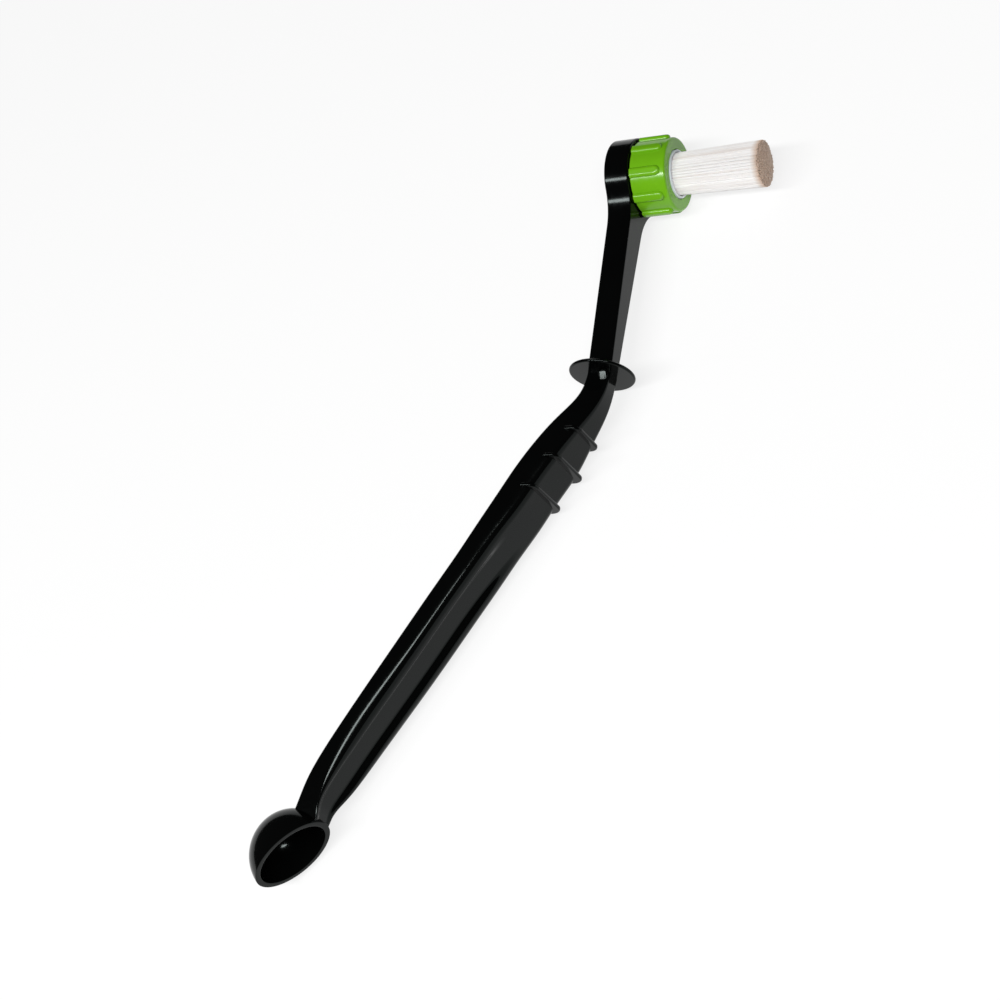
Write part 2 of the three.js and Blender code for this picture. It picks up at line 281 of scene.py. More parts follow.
@dataclass(frozen=True)
class NylonStrands:
    """Milky nylon, each strand of its own tone, drawn lengthwise, with a tan painted on the strands'
    ends as painted shade of the bristles' end face.
    """

    name: str
    pale: Triple
    warm: Triple
    # Painted shade: a tan laid on the strands' ends for the shaded end face of the bristles.
    tip_shade_colour: Triple
    roughness: float
    tone_name: str
    tip_name: str
    milk_weight: float = 0.2
    milk_radius: Triple = (1.0, 0.9, 0.8)
    milk_scale: float = 0.0006
    streak_scale: float = 1800.0
    streak_detail: float = 2.0
    streak_stretch: Triple = (0.06, 1.0, 1.0)
    streak_tone: float = 0.2
    streak_roughness: float = 0.08

    def material(self) -> bpy.types.Material:
        """Builds the material."""
        bench = NodeBench(self.name)
        shader = bench.shader
        shader.inputs["Subsurface Weight"].default_value = self.milk_weight
        shader.inputs["Subsurface Radius"].default_value = self.milk_radius
        shader.inputs["Subsurface Scale"].default_value = self.milk_scale
        tone = bench.add("ShaderNodeAttribute", attribute_name=self.tone_name)
        streak = bench.noise(self.streak_scale, self.streak_detail, Vector(self.streak_stretch))
        mixed = bench.add("ShaderNodeMath", operation="MULTIPLY_ADD")
        bench.link(bench.spread(streak, -self.streak_tone, self.streak_tone), mixed.inputs[0])
        mixed.inputs[1].default_value = 1
        bench.link(tone.outputs["Fac"], mixed.inputs[2])
        length = bench.blend(mixed.outputs[0], self.pale, self.warm)
        # The strands' ends take a painted shade, a tan over their own colour, for the shaded end face
        # of the bristles.
        tip = bench.add("ShaderNodeAttribute", attribute_name=self.tip_name)
        shaded_tips = bench.add("ShaderNodeMix", data_type="RGBA")
        bench.link(tip.outputs["Fac"], shaded_tips.inputs[MIX_SHARE])
        bench.link(length, shaded_tips.inputs[MIX_FIRST])
        shaded_tips.inputs[MIX_SECOND].default_value = (*self.tip_shade_colour, 1)
        bench.link(shaded_tips.outputs[MIX_COLOUR], shader.inputs["Base Color"])
        smooth = self.roughness - self.streak_roughness
        rough = self.roughness + self.streak_roughness
        bench.link(bench.spread(streak, smooth, rough), shader.inputs["Roughness"])
        return bench.material


BLACK_GLOSS = MouldedPlastic(
    "gloss_black_moulding", (0.0014, 0.0015, 0.0015), (0.0010, 0.0011, 0.0011), (0.10, 0.15), 1.24,
    0.008, gloss_tint=(0.88, 1.0, 0.97))
LIME_SATIN = MouldedPlastic(
    "lime_green_moulding", (0.152, 0.420, 0.009), (0.136, 0.390, 0.007), (0.14, 0.22), 1.40, 0.02)
MILKY_WHITE = MouldedPlastic(
    "milky_white_moulding", (0.78, 0.82, 0.86), (0.74, 0.79, 0.84), (0.34, 0.46), 1.48, 0.06)
# The third colour is the painted shade on the bristles' ends.
BRISTLE_NYLON = NylonStrands(
    "nylon_bristle", (0.90, 0.885, 0.875), (0.74, 0.69, 0.66), (0.55, 0.40, 0.305), 0.42,
    "strand_tone", "strand_tip")


@dataclass(frozen=True)
class ToolFrame:
    """Where the drawing's origin, the middle of the guard, lies in the row frame."""

    origin: Vector

    @classmethod
    def from_nodes(cls) -> "ToolFrame":
        """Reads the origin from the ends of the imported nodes."""
        tuft_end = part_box("bristle_tuft")[1]
        low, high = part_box("handle")
        top = NECK_LENGTH + HEAD_RADIUS
        return cls(Vector((tuft_end.x - BRISTLE_TIP * MM, high.y - top * MM, (low.z + high.z) / 2)))

    def matrix(self) -> Matrix:
        """The move from the drawing in millimetres to the row frame in metres."""
        return Matrix.Translation(self.origin) @ Matrix.Scale(MM, 4)


class ProfilePen:
    """Draws a chain of edges, one point after another."""

    def __init__(self, bm: Shell, start: Sequence[float]) -> None:
        """Sets the pen down at its first point."""
        self.bm = bm
        self.verts = [bm.verts.new(start)]
        self.edges: list[Edge] = []

    def line(self, *points: Sequence[float]) -> "ProfilePen":
        """Draws straight on through points and returns the pen."""
        for point in points:
            made = bmesh.ops.extrude_vert_indiv(self.bm, verts=[self.verts[-1]])
            made["verts"][0].co = point
            self.verts.append(made["verts"][0])
            self.edges.append(made["edges"][0])
        return self

    def arc(self, centre: Sequence[float], axis: Vector, angle: float, steps: int) -> "ProfilePen":
        """Draws an arc from the last point.

        Args:
            centre: the arc's centre.
            axis: the axis that it turns about.
            angle: how far it turns, in radians.
            steps: edges along the arc.

        Returns:
            The pen.
        """
        middle = Vector(centre)
        arm = self.verts[-1].co - middle
        turns = (Matrix.Rotation(angle * (step + 1) / steps, 3, axis) for step in range(steps))
        return self.line(*(middle + turn @ arm for turn in turns))

    def corner(self, x: float, y: float, steps: int) -> "ProfilePen":
        """Rounds a corner by a quarter turn about a centre in the plane of the brush axis."""
        return self.arc((x, y, 0), Z_AXIS, -math.pi / 2, steps)

    def close(self) -> "ProfilePen":
        """Joins the last point to the first and returns the pen."""
        self.edges.append(self.bm.edges.new((self.verts[-1], self.verts[0])))
        return self

    def face(self) -> Face:
        """Fills the closed outline."""
        return self.bm.faces.new(self.verts)

    def turn(self, centre: Vector, axis: Vector, steps: int) -> None:
        """Turns the profile a full turn into a closed shell.

        Args:
            centre: a point on the axis.
            axis: the axis.
            steps: faces round the shell.
        """
        bmesh.ops.spin(
            self.bm, geom=self.verts + self.edges, cent=centre, axis=axis, dvec=(0, 0, 0),
            angle=FULL_TURN, steps=steps, use_merge=True)
        tidy_shell(self.bm)


def tidy_shell(bm: Shell) -> None:
    """Merges doubled points and turns the faces of a closed shell outwards."""
    bmesh.ops.remove_doubles(bm, verts=bm.verts, dist=MERGE_DISTANCE)
    bmesh.ops.dissolve_degenerate(bm, edges=bm.edges, dist=SLIVER_LENGTH)
    bmesh.ops.recalc_face_normals(bm, faces=bm.faces)


def raise_face(bm: Shell, face: Face, by: Vector) -> list[Face]:
    """Extrudes an outline's face into a closed plate.

    Args:
        bm: the mesh.
        face: the outline's face.
        by: the way and distance.

    Returns:
        The faces at the far end.
    """
    made = bmesh.ops.extrude_face_region(bm, geom=[face], use_keep_orig=True)
    verts = [item for item in made["geom"] if isinstance(item, Vert)]
    bmesh.ops.translate(bm, verts=verts, vec=by)
    tidy_shell(bm)
    return [item for item in made["geom"] if isinstance(item, Face)]


def round_edges(bm: Shell, edges: Sequence[Edge], by: float, steps: int) -> None:
    """Rounds edges by a radius in a number of steps."""
    bmesh.ops.bevel(
        bm, geom=list(edges), offset=by, offset_type="OFFSET", segments=steps, profile=0.5,
        affect="EDGES", clamp_overlap=True, material=-1)
    bmesh.ops.recalc_face_normals(bm, faces=bm.faces)


def rim_edges(bm: Shell, axis: Vector) -> list[Edge]:
    """The edges between a plate's flat ends and its side.

    Args:
        bm: the plate.
        axis: the way through the plate.

    Returns:
        The edges.
    """
    ends = [face for face in bm.faces if abs(face.normal.dot(axis)) > FLAT_END]
    return list(dict.fromkeys(edge for face in ends for edge in face.edges))


def helix_ridge(root: float, crest: float, start: float, turns: float) -> Shell:
    """A right-hand thread ridge about the brush axis.

    Args:
        root: radius of its foot.
        crest: radius of its crest.
        start: where its middle starts along the axis.
        turns: its length in turns.

    Returns:
        The closed ridge.
    """
    foot = NECK_LENGTH + root
    top = NECK_LENGTH + crest
    bm = bmesh.new()
    pen = ProfilePen(bm, (start - THREAD_FOOT_HALF, foot, 0))
    pen.line(
        (start - THREAD_CREST_HALF, top, 0), (start + THREAD_CREST_HALF, top, 0),
        (start + THREAD_FOOT_HALF, foot, 0))
    pen.close()
    steps = round(turns * THREAD_STEPS)
    lead = Vector((THREAD_PITCH / THREAD_STEPS, 0, 0))
    bmesh.ops.spin(
        bm, geom=pen.verts + pen.edges, cent=BRUSH_CENTRE, axis=X_AXIS, dvec=lead,
        angle=FULL_TURN * steps / THREAD_STEPS, steps=steps, use_merge=False)
    bmesh.ops.holes_fill(bm, edges=bm.edges, sides=4)
    tidy_shell(bm)
    return bm


def loose_object(name: str, bm: Shell) -> Piece:
    """Makes a mesh object from a bmesh, which is freed."""
    mesh = bpy.data.meshes.new(name)
    bm.to_mesh(mesh)
    bm.free()
    item = bpy.data.objects.new(name, mesh)
    bpy.context.scene.collection.objects.link(item)
    return item


def joined(body: Shell, steps: Sequence[tuple[Join, Shell]]) -> Shell:
    """Joins and cuts closed shells into one solid.

    Args:
        body: the shell to start from.
        steps: what is done to it, in order.

    Returns:
        The solid.
    """
    start = loose_object("joining_body", body)
    tools = [loose_object("joining_tool", shell) for _, shell in steps]
    for (how, _), tool in zip(steps, tools):
        modifier = start.modifiers.new(how.name, "BOOLEAN")
        modifier.operation = how.value
        modifier.solver = "EXACT"
        modifier.object = tool
    graph = bpy.context.evaluated_depsgraph_get()
    made = bpy.data.meshes.new_from_object(start.evaluated_get(graph))
    result = bmesh.new()
    result.from_mesh(made)
    for item in [start, *tools]:
        mesh = item.data
        bpy.data.objects.remove(item)
        bpy.data.meshes.remove(mesh)
    bpy.data.meshes.remove(made)
    return result


@dataclass
class Assembly:
    """A sub-assembly of the tool, drawn in the tool's frame."""

    frame: ToolFrame

    def finish_piece(self, name: str, bm: Shell, crease: float, weighted: bool = False) -> Piece:
        """Sets a finished mesh into the row frame as a smooth object.

        Args:
            name: the piece's name.
            bm: its mesh in millimetres.
            crease: the angle in degrees above which an edge stays sharp.
            weighted: whether large flat faces keep their own normals.

        Returns:
            The object.
        """
        bmesh.ops.transform(bm, matrix=self.frame.matrix(), verts=bm.verts)
        piece = loose_object(name, bm)
        mesh = piece.data
        mesh.shade_smooth()
        mesh.set_sharp_from_angle(angle=math.radians(crease))
        if weighted:
            modifier = piece.modifiers.new("flat_faces", "WEIGHTED_NORMAL")
            modifier.keep_sharp = True
            modifier.weight = FLAT_FACE_WEIGHT
        LOG.info("%s: %d faces", name, len(mesh.polygons))
        return piece

    def dress(
        self,
        piece: Piece,
        finish: MouldedPlastic | NylonStrands,
        slot: Slot,
        body: Body,
        node: str,
    ) -> None:
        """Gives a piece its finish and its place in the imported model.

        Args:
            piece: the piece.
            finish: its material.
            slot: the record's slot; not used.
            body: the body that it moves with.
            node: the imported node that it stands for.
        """
        piece.data.materials.clear()
        piece.data.materials.append(finish.material())
        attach(piece, body.value)
        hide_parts(node)


@dataclass(frozen=True)
class GripSection:
    """One section of the grip, set by a point on its flat back."""

    back_x: float
    back_y: float
    lean: float
    depth: float
    width: float
    corner: float
    groove: float


GRIP_SECTIONS = (
    GripSection(-NECK_THICKNESS / 2, 0.4, 0, NECK_THICKNESS, NECK_WIDTH_AT_GUARD, 0.5, 0),
    GripSection(-3.9, -4.6, 4, 7.3, 5.6, 0.9, 0),
    GripSection(-5.1, -9.1, 14, 7.4, 8.6, 1.8, 0),
    GripSection(-8.0, -13.8, 26, 7.6, 12.1, 2.6, 0),
    GripSection(-12.0, -21.3, 33, 7.9, 16.8, 3.2, 0),
    GripSection(-17.4, -30.1, 31, 8.0, 17.8, 3.4, 0),
    GripSection(-21.9, -38.9, 29.5, 7.8, 18.3, 3.4, 0),
    GripSection(-26.1, -47.0, 29, 7.0, 18.8, 3.3, 0),
    GripSection(-30.0, -54.7, 29, 6.6, 19.1, 3.3, 0.9),
    GripSection(-35.1, -63.8, 29, 6.45, 19.2, 3.2, 1.45),
    GripSection(-44.3, -80.2, 29, 6.4, 19.1, 3.2, 1.5),
    GripSection(-58.7, -105.5, 28, 6.2, 17.8, 3.1, 1.5),
    GripSection(-63.9, -113.6, 25, 6.8, 15.0, 1.7, 1.4),
    GripSection(-67.9, -120.3, 20, 6.9, 11.0, 0.5, 1.0),
    GripSection(-70.1, -125.2, 13, 7.2, 7.5, 0.35, 0.3),
    GripSection(-71.2, -128.4, 6, 8.9, 6.8, 0.3, 0),
    GripSection(-72.4, -131.5, 0, 8.4, 6.6, 0.3, 0),
)


class GripCurve:
    """A smooth run of grip sections, sampled evenly along the handle."""

    def __init__(self, sections: Sequence[GripSection], stations: int, smoothing: int) -> None:
        """Runs a curve through the sections.

        Args:
            sections: the sections, from the guard down.
            stations: how many samples to take.
            smoothing: passes of light smoothing along the samples.
        """
        rows = []
        for part in sections:
            lean = math.radians(part.lean)
            front_x = part.back_x + part.depth * math.cos(lean)
            front_y = part.back_y - part.depth * math.sin(lean)
            back = (part.back_x, part.back_y)
            rows.append((*back, front_x, front_y, part.width, part.corner, part.groove))
        values = np.array(rows)
        steps = np.hypot(*np.diff(values[:, :2], axis=0).T)
        knots = np.concatenate([[0], np.cumsum(steps)])
        self.samples = self.through(knots, values, np.linspace(0, knots[-1], stations))
        for _ in range(smoothing):
            inner = self.samples[:-2] + 2 * self.samples[1:-1] + self.samples[2:]
            self.samples[1:-1] = inner / 4
        grooves = self.samples[:, Column.GROOVE]
        self.samples[:, Column.GROOVE] = np.maximum(grooves, 0)

    @staticmethod
    def through(knots: np.ndarray, values: np.ndarray, at: np.ndarray) -> np.ndarray:
        """Evaluates the natural cubic curve through values.

        Args:
            knots: where the values lie along the curve.
            values: one row for each knot.
            at: where to evaluate.

        Returns:
            One row for each place in at.
        """
        count = len(knots)
        gaps = np.diff(knots)
        slopes = np.diff(values, axis=0) / gaps[:, None]
        system = np.eye(count)
        right = np.zeros_like(values)
        for row in range(1, count - 1):
            system[row, row - 1] = gaps[row - 1]
            system[row, row] = 2 * (gaps[row - 1] + gaps[row])
            system[row, row + 1] = gaps[row]
            right[row] = 6 * (slopes[row] - slopes[row - 1])
        bends = np.linalg.solve(system, right)
        span = np.clip(np.searchsorted(knots, at, side="right") - 1, 0, count - 2)
        gap = gaps[span][:, None]
        share = ((at - knots[span])[:, None]) / gap
        rest = 1 - share
        straight = rest * values[span] + share * values[span + 1]
        curved = (rest ** 3 - rest) * bends[span] + (share ** 3 - share) * bends[span + 1]
        return straight + curved * gap ** 2 / 6

    def crossing(self, place: Sequence[float], along: Vector) -> tuple[float, np.ndarray]:
        """Finds where the grip's front crosses a plane.

        Args:
            place: a point of the plane, in x and y.
            along: the plane's direction in x and y.

        Returns:
            The distance from the point along the plane, and the sample there.
        """
        away_x = self.samples[:, Column.FRONT_X] - place[0]
        away_y = self.samples[:, Column.FRONT_Y] - place[1]
        off = away_y * along.x - away_x * along.y
        index = int(np.argmin(np.abs(off)))
        return float(away_x[index] * along.x + away_y[index] * along.y), self.samples[index]


@dataclass
class Handle(Assembly):
    """The black moulding: scoop, grip, ribs, guard, neck, head and threaded boss."""

    neck_width_at_head: float = 10.2
    neck_fillet: float = 14.0
    edge_round: float = 0.5
    guard_radius: float = 9.3
    guard_thickness: float = 1.0
    web_height: float = 3.2
    web_spread: float = 1.7
    web_top: float = -0.3
    web_ends: tuple[float, float] = (0.2, 3.1)
    web_round: float = 0.8
    boss_floor: float = 0.3
    boss_chamfer: float = 0.3
    groove_reach: float = 5.6
    groove_floor: float = 3.3
    groove_margin: float = 0.3
    spine_round: float = 1.0
    rib_places: tuple[tuple[float, float], ...] = ((-1.5, -19.2), (-6.0, -27.8), (-10.8, -36.5))
    rib_thickness: float = 1.1
    rib_tilt: float = math.radians(1)
    rib_proud: float = 1.25
    rib_side_proud: float = 0.7
    rib_wrap: float = 2.4
    rib_round: float = 0.42
    scoop_centre: tuple[float, float] = (-70.3, -137.7)
    scoop_tilt: float = math.radians(-43.4)
    scoop_length: float = 24.2
    scoop_width: float = 19.0
    scoop_depth: float = 13.0
    scoop_wall: float = 1.6
    scoop_roundness: float = 2.0
    scoop_fullness: float = 2.5
    scoop_crown: float = 0.12
    scoop_rim_power: float = 0.4
    scoop_clearing: float = 0.2
    grip_stations: int = 180
    grip_smoothing: int = 24
    back_points: int = 5
    spine_points: int = 9
    side_points: int = 7
    corner_points: int = 19
    shoulder_points: int = 5
    wall_points: int = 11
    floor_points: int = 8
    round_steps: int = 4
    web_steps: int = 6
    arc_steps: int = 10
    flare_steps: int = 24
    head_steps: int = 96
    guard_steps: int = 144
    bowl_steps: int = 28
    rim_steps: int = 12
    inside_steps: int = 32
    clearing_steps: int = 24
    scoop_steps: int = 128
    crease: float = 32.0

    def build(self) -> Piece:
        """Makes the whole moulding and returns it."""
        curve = GripCurve(GRIP_SECTIONS, self.grip_stations, self.grip_smoothing)
        steps = [(Join.CUT, self.scoop_hollow())]
        steps += [(Join.ADD, self.rib(curve, place)) for place in self.rib_places]
        shells = (self.neck_and_head(), self.guard(), self.guard_webs(), self.boss(), self.scoop())
        steps += [(Join.ADD, shell) for shell in shells]
        boss_start = HEAD_FACE + THREAD_PITCH / 2
        turns = (BOSS_END - THREAD_FOOT_HALF - boss_start) / THREAD_PITCH
        ridge = helix_ridge(BOSS_RADIUS - THREAD_SINK, BOSS_RADIUS + THREAD_HEIGHT, boss_start, turns)
        steps.append((Join.ADD, ridge))
        solid = joined(self.grip(curve), steps)
        tidy_shell(solid)
        return self.finish_piece("handle_moulding", solid, self.crease, weighted=True)

    def section(self, width: float, depth: float, corner: float, groove: float) -> np.ndarray:
        """The outline of one grip section, from the middle of its back round to there again.

        Args:
            width: the section's width.
            depth: its depth from back to front.
            corner: the round of its front corners.
            groove: the depth of the groove in its front.

        Returns:
            Rows of across and along.
        """
        half = width / 2
        back = np.linspace(0, half - self.spine_round, self.back_points)[:-1]
        quarter = np.linspace(0, math.pi / 2, self.spine_points)
        rear = np.stack([half - self.spine_round * (1 - np.sin(quarter)),
                         self.spine_round * (1 - np.cos(quarter))], axis=1)
        reach = depth - corner
        side = np.linspace(self.spine_round, reach, self.side_points)[1:-1]
        turn = np.linspace(0, math.pi / 2, self.corner_points)
        front = np.stack([half - corner * (1 - np.cos(turn)), reach + corner * np.sin(turn)], axis=1)
        span = half - corner
        reach_out = min(self.groove_reach, span - self.groove_margin)
        reach_in = reach_out * self.groove_floor / self.groove_reach
        across = np.concatenate([
            np.linspace(span, reach_out, self.shoulder_points)[1:],
            np.linspace(reach_out, reach_in, self.wall_points)[1:],
            np.linspace(reach_in, 0, self.floor_points)[1:]])
        share = np.clip((reach_out - across) / (reach_out - reach_in), 0, 1)
        hollow = depth - groove * share ** 2 * (3 - 2 * share)
        near = np.concatenate([
            np.stack([back, np.zeros_like(back)], axis=1), rear,
            np.stack([np.full_like(side, half), side], axis=1), front,
            np.stack([across, hollow], axis=1)])
        far = near[-2::-1] * np.array([-1, 1])
        return np.concatenate([near, far])

    def grip(self, curve: GripCurve) -> Shell:
        """The grip's skin, a grid bent round the sections and closed at both ends.

        Args:
            curve: the run of sections.

        Returns:
            The closed skin.
        """
        rings = []
        for back_x, back_y, front_x, front_y, width, corner, groove in curve.samples:
            forward = np.array([front_x - back_x, front_y - back_y])
            depth = float(np.hypot(*forward))
            outline = self.section(width, depth, corner, groove)
            spot = np.array([back_x, back_y]) + outline[:, 1:] * forward / depth
            rings.append(np.column_stack([spot, outline[:, 0]]))
        skin = np.array(rings)
        stations, points = skin.shape[:2]
        bm = bmesh.new()
        bmesh.ops.create_grid(bm, x_segments=stations - 1, y_segments=points - 1, size=1)
        for vert in bm.verts:
            station = round((vert.co.x + 1) / 2 * (stations - 1))
            point = round((vert.co.y + 1) / 2 * (points - 1))
            vert.co = skin[station, point]
        bmesh.ops.remove_doubles(bm, verts=bm.verts, dist=MERGE_DISTANCE)
        bmesh.ops.holes_fill(bm, edges=bm.edges, sides=0)
        tidy_shell(bm)
        return bm

    def rib(self, curve: GripCurve, place: tuple[float, float]) -> Shell:
        """One finger rib, a rounded fin over the grip's front and its corners.

        Args:
            curve: the run of grip sections.
            place: a point of the rib's middle plane.

        Returns:
            The closed rib.
        """
        along = Vector((math.cos(self.rib_tilt), math.sin(self.rib_tilt)))
        reach, sample = curve.crossing(place, along)
        deep_x = sample[Column.FRONT_X] - sample[Column.BACK_X]
        deep_y = sample[Column.FRONT_Y] - sample[Column.BACK_Y]
        slant = Vector((deep_x, deep_y)).normalized().dot(along)
        half = sample[Column.WIDTH] / 2 + self.rib_side_proud
        corner = sample[Column.CORNER]
        low = reach - self.rib_wrap / slant
        high = reach + self.rib_proud / slant
        bm = bmesh.new()
        pen = ProfilePen(bm, (low, 0, -half))
        pen.line((low, 0, half), (high - corner, 0, half))
        pen.arc((high - corner, 0, half - corner), Y_AXIS, math.pi / 2, self.arc_steps)
        pen.line((high, 0, corner - half))
        pen.arc((high - corner, 0, corner - half), Y_AXIS, math.pi / 2, self.arc_steps)
        pen.close()
        bmesh.ops.translate(bm, verts=bm.verts, vec=(0, -self.rib_thickness / 2, 0))
        raise_face(bm, pen.face(), Y_AXIS * self.rib_thickness)
        round_edges(bm, rim_edges(bm, Y_AXIS), self.rib_round, self.round_steps)
        turn = Matrix.Rotation(self.rib_tilt, 4, "Z")
        bmesh.ops.transform(bm, matrix=Matrix.Translation((*place, 0)) @ turn, verts=bm.verts)
        return bm

    def neck_and_head(self) -> Shell:
        """The flat bar of the neck, its flare and the round head, as a closed plate."""
        foot = NECK_WIDTH_AT_GUARD / 2
        slope = Vector((self.neck_width_at_head / 2 - foot, NECK_LENGTH)).normalized()
        outward = Vector((slope.y, -slope.x))
        start = Vector((foot, -NECK_LENGTH)) + outward * self.neck_fillet
        reach = HEAD_RADIUS + self.neck_fillet
        ahead = start.dot(slope)
        centre = start + slope * (-ahead - math.sqrt(ahead ** 2 - start.length_squared + reach ** 2))
        leave = math.atan2(centre.y, centre.x)
        tangent = centre - outward * self.neck_fillet
        flare = math.atan2(-centre.y, -centre.x) % FULL_TURN
        enter = math.atan2(-outward.y, -outward.x) % FULL_TURN
        bm = bmesh.new()
        level = -NECK_THICKNESS / 2
        pen = ProfilePen(bm, (level, 0, -foot))
        pen.line((level, 0, foot), (level, NECK_LENGTH + tangent.y, tangent.x))
        pen.arc((level, NECK_LENGTH + centre.y, centre.x), X_AXIS, enter - flare, self.flare_steps)
        pen.arc((level, NECK_LENGTH, 0), X_AXIS, 2 * leave - math.pi, self.head_steps)
        pen.arc((level, NECK_LENGTH + centre.y, -centre.x), X_AXIS, enter - flare, self.flare_steps)
        pen.close()
        raise_face(bm, pen.face(), X_AXIS * NECK_THICKNESS)
        round_edges(bm, rim_edges(bm, X_AXIS), self.edge_round, self.round_steps)
        return bm

    def guard(self) -> Shell:
        """The splash guard, a thin disc with a rounded rim, its front a little lowered."""
        rim = self.guard_thickness / 2
        bm = bmesh.new()
        pen = ProfilePen(bm, (0, -rim, 0))
        pen.line((self.guard_radius - rim, -rim, 0))
        pen.arc((self.guard_radius - rim, 0, 0), Z_AXIS, math.pi, self.arc_steps)
        pen.line((0, rim, 0))
        pen.turn(Vector(), Y_AXIS, self.guard_steps)
        lean = Matrix.Rotation(-GUARD_TILT, 3, "Z")
        bmesh.ops.rotate(bm, verts=bm.verts, cent=(0, 0, 0), matrix=lean)
        return bm

    def guard_webs(self) -> Shell:
        """The sloped webs between the sides of the grip's foot and the guard's underside."""
        near, far = self.web_ends
        wide = NECK_WIDTH_AT_GUARD / 2
        out = wide + self.web_spread
        top = self.web_top
        low = top - self.web_height
        bm = bmesh.new()
        pen = ProfilePen(bm, (near, top, -out))
        pen.line((near, low, -wide), (near, low, wide), (near, top, out))
        pen.close()
        raise_face(bm, pen.face(), X_AXIS * (far - near))
        round_edges(bm, bm.edges, self.web_round, self.web_steps)
        return bm

    def boss(self) -> Shell:
        """The hollow boss in front of the head, ready for its thread."""
        floor = HEAD_FACE + self.boss_floor
        outer = NECK_LENGTH + BOSS_RADIUS
        hole = NECK_LENGTH + SLEEVE_HOLE
        bm = bmesh.new()
        pen = ProfilePen(bm, (0, NECK_LENGTH, 0))
        pen.line(
            (0, outer, 0), (BOSS_END - self.boss_chamfer, outer, 0),
            (BOSS_END, outer - self.boss_chamfer, 0), (BOSS_END, hole, 0),
            (floor, hole, 0), (floor, NECK_LENGTH, 0))
        pen.turn(BRUSH_CENTRE, X_AXIS, self.head_steps)
        return bm

    def place_bowl(self, bm: Shell, length: float, width: float) -> None:
        """Stretches a round bowl of unit radius to an oval and sets it at the scoop's place.

        Args:
            bm: the bowl, turned about +Y with its rim at zero.
            length: half its length.
            width: half its width.
        """
        stretch = Matrix.Diagonal((length, 1, width, 1))
        turn = Matrix.Rotation(self.scoop_tilt - math.pi / 2, 4, "Z")
        move = Matrix.Translation((*self.scoop_centre, 0))
        bmesh.ops.transform(bm, matrix=move @ turn @ stretch, verts=bm.verts)
        bmesh.ops.recalc_face_normals(bm, faces=bm.faces)

    @staticmethod
    def bowl_curve(radius: float, depth: float, fullness: float, steps: int) -> list[Triple]:
        """A bowl's profile from its deepest point out to its rim.

        Args:
            radius: the rim's radius.
            depth: the depth.
            fullness: 2 for an ellipse, more for steeper sides and a flatter bottom.
            steps: points along the profile.

        Returns:
            The points after the deepest one.
        """
        power = 2 / fullness
        angles = [math.pi / 2 * step / steps for step in range(1, steps)]
        outs = [radius * math.sin(angle) ** power for angle in angles]
        downs = [-depth * math.cos(angle) ** power for angle in angles]
        return [*((out, down, 0.0) for out, down in zip(outs, downs)), (radius, 0.0, 0.0)]

    def scoop(self) -> Shell:
        """The scoop's bowl, a shell with a softly rounded rim."""
        length = self.scoop_length / 2
        inner = 1 - self.scoop_wall / length
        inner_depth = self.scoop_depth - self.scoop_wall
        bm = bmesh.new()
        pen = ProfilePen(bm, (0, -self.scoop_depth, 0))
        pen.line(*self.bowl_curve(1, self.scoop_depth, self.scoop_roundness, self.bowl_steps))
        middle = (1 + inner) / 2
        spread = (1 - inner) / 2
        for step in range(1, self.rim_steps + 1):
            angle = math.pi * step / self.rim_steps
            side = math.copysign(abs(math.cos(angle)) ** self.scoop_rim_power, math.cos(angle))
            rise = math.sin(angle) ** self.scoop_rim_power
            pen.line((middle + spread * side, self.scoop_crown * rise, 0))
        inside = self.bowl_curve(inner, inner_depth, self.scoop_fullness, self.inside_steps)
        pen.line(*reversed(inside[:-1]))
        pen.line((0, -inner_depth, 0))
        pen.turn(Vector(), Y_AXIS, self.scoop_steps)
        self.place_bowl(bm, length, self.scoop_width / 2)
        return bm

    def scoop_hollow(self) -> Shell:
        """The room inside the scoop and above it, which the grip's end keeps out of."""
        inset = self.scoop_wall - self.scoop_clearing
        depth = self.scoop_depth - inset
        bm = bmesh.new()
        pen = ProfilePen(bm, (0, -depth, 0))
        pen.line(*self.bowl_curve(1, depth, self.scoop_fullness, self.clearing_steps))
        pen.line((1, self.scoop_depth, 0), (0, self.scoop_depth, 0))
        pen.turn(Vector(), Y_AXIS, self.head_steps)
        self.place_bowl(bm, self.scoop_length / 2 - inset, self.scoop_width / 2 - inset)
        return bm


